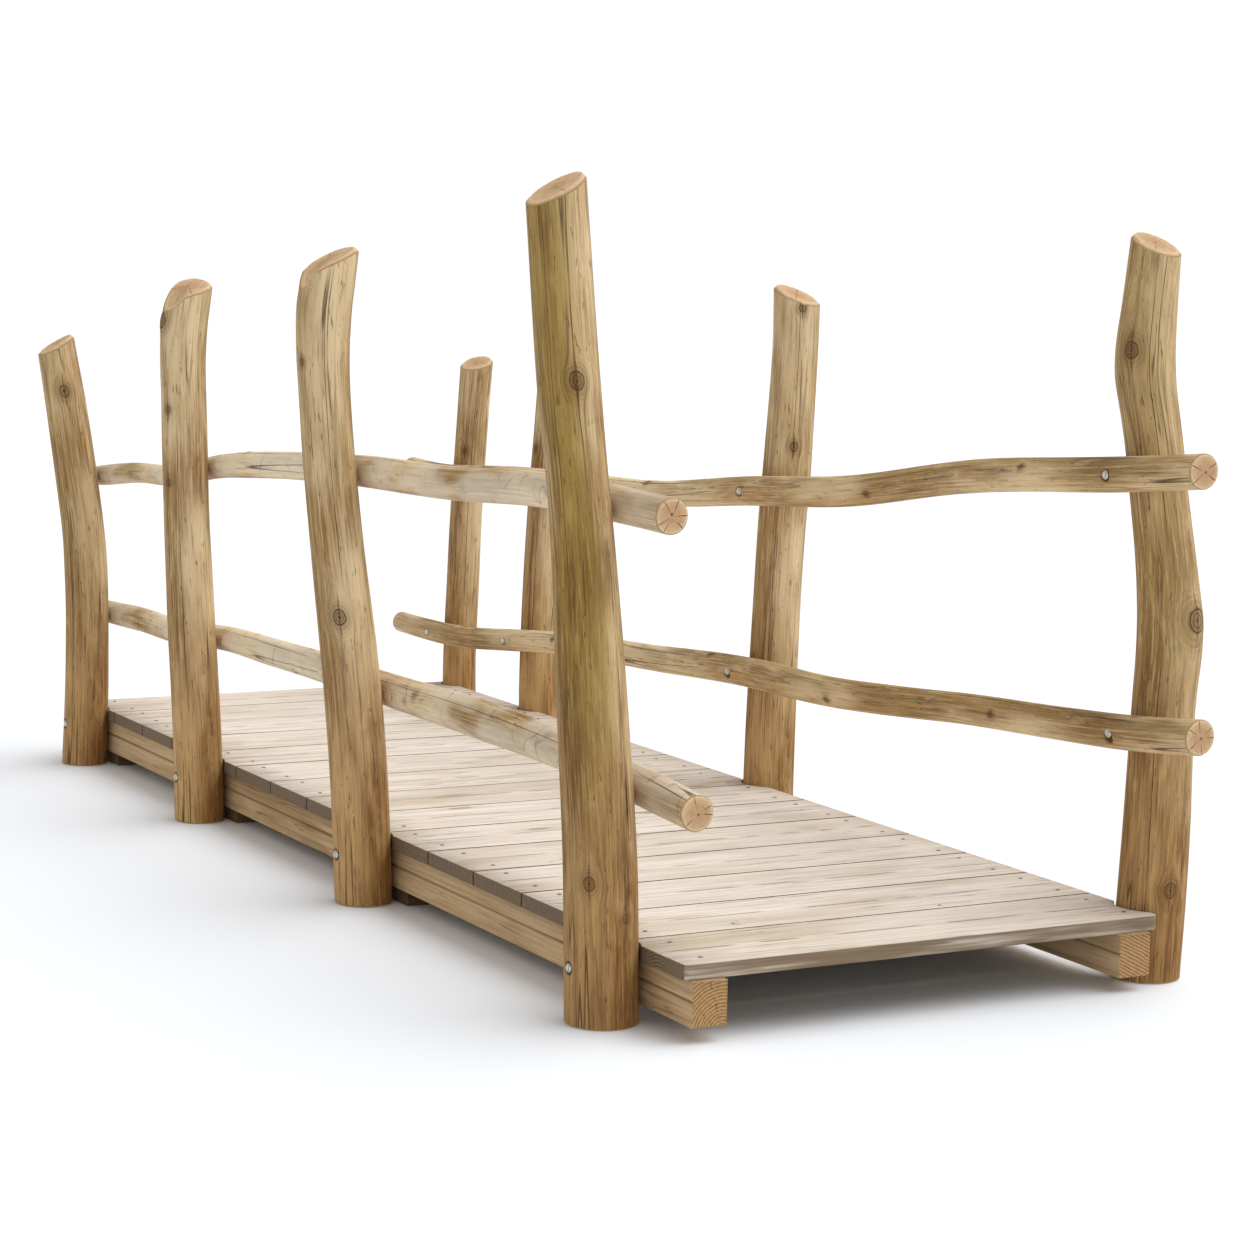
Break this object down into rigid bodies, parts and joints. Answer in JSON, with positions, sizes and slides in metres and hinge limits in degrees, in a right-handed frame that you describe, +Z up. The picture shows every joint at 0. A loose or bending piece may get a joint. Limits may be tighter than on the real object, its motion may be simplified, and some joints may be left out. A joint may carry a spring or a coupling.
{
  "type": "wooden footbridge",
  "caption": "Low rustic footbridge: plank deck on two beams, with bent natural logs as posts, handrails and midrails along both sides.",
  "frame": {"origin": "on the ground, in the middle of the whole bridge's length and width", "axes": "+X along the bridge towards its near end, +Y to the right as seen looking from the near end towards the far end, +Z up"},
  "size_m": [4.0423, 1.5818, 1.7443],
  "materials": {
    "post_log": "debarked log, weathered, satin",
    "rail_log": "scraped log, matt",
    "beam_timber": "sawn softwood, matt",
    "bearer_timber": "damp dark sawn timber, matt",
    "deck_timber": "weathered sawn board, matt",
    "fixing_steel": "zinc-plated, satin"
  },
  "bodies": {
    "root": {"post_left_1": "post_log", "post_left_2": "post_log", "post_left_3": "post_log", "post_left_4": "post_log", "post_right_1": "post_log", "post_right_2": "post_log", "post_right_3": "post_log", "post_right_4": "post_log", "handrail_left": "rail_log", "midrail_left": "rail_log", "handrail_right": "rail_log", "midrail_right": "rail_log", "beam_left": "beam_timber", "beam_right": "beam_timber", "bearer_1": "bearer_timber", "bearer_2": "bearer_timber", "bearer_3": "bearer_timber", "deck_board_01": "deck_timber", "deck_board_02": "deck_timber", "deck_board_03": "deck_timber", "deck_board_04": "deck_timber", "deck_board_05": "deck_timber", "deck_board_06": "deck_timber", "deck_board_07": "deck_timber", "deck_board_08": "deck_timber", "deck_board_09": "deck_timber", "deck_board_10": "deck_timber", "deck_board_11": "deck_timber", "deck_board_12": "deck_timber", "deck_board_13": "deck_timber", "deck_board_14": "deck_timber", "deck_board_15": "deck_timber"}
  },
  "joints": []
}
